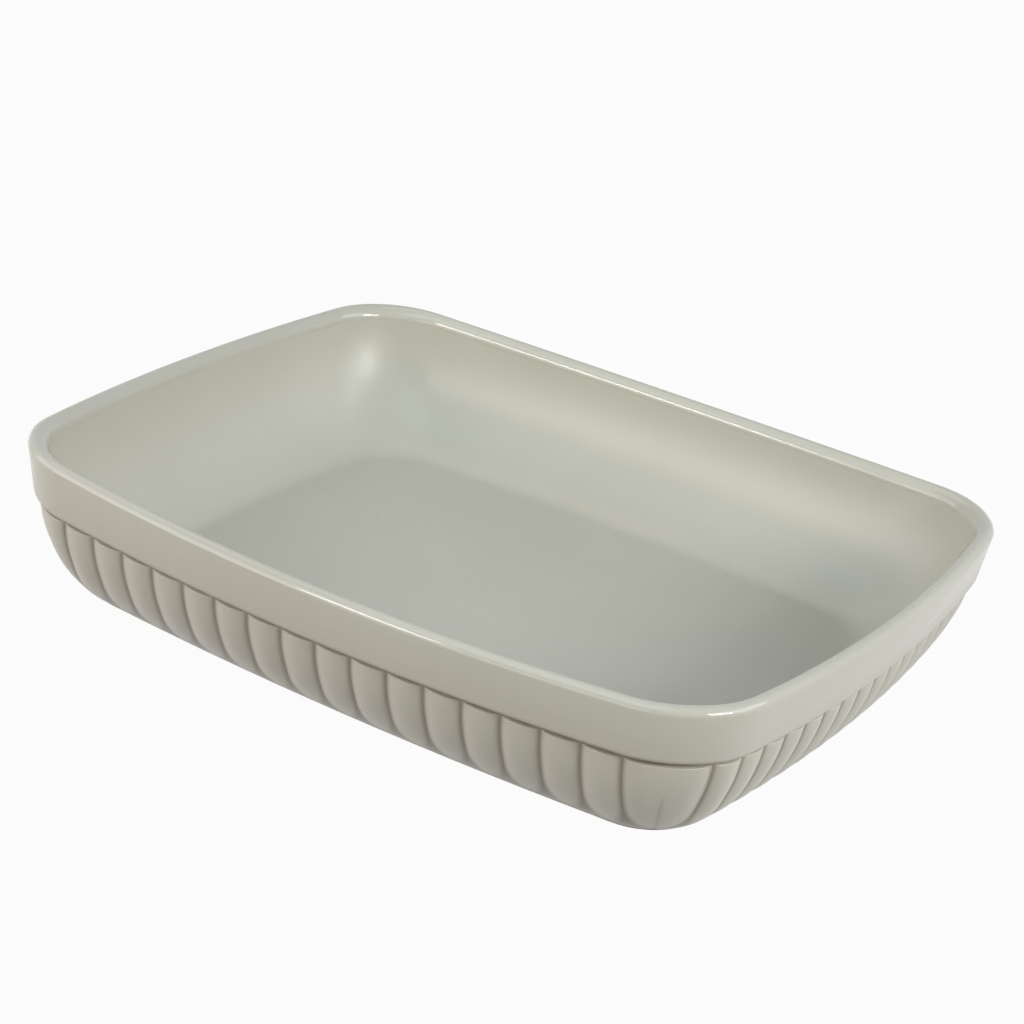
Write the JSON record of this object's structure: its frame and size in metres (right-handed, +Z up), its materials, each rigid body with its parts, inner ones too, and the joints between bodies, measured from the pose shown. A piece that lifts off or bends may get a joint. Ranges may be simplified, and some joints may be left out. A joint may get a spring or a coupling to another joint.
{
  "type": "lasagna dish",
  "caption": "Rectangular ribbed baking dish with bowed sides, a plain rim band, rounded corners and a glazed finish on a bare foot ring.",
  "frame": {"origin": "middle of the footprint, on the table", "axes": "+X along the long side, +Y along the short side, +Z up"},
  "size_m": [0.36, 0.29, 0.0679],
  "materials": {
    "bare_stoneware": "unglazed, slightly sandy",
    "glaze": "glossy warm grey glaze"
  },
  "bodies": {
    "root": {"stoneware_body": "bare_stoneware", "glaze_coat": "glaze", "underside_glaze": "glaze"}
  },
  "joints": []
}
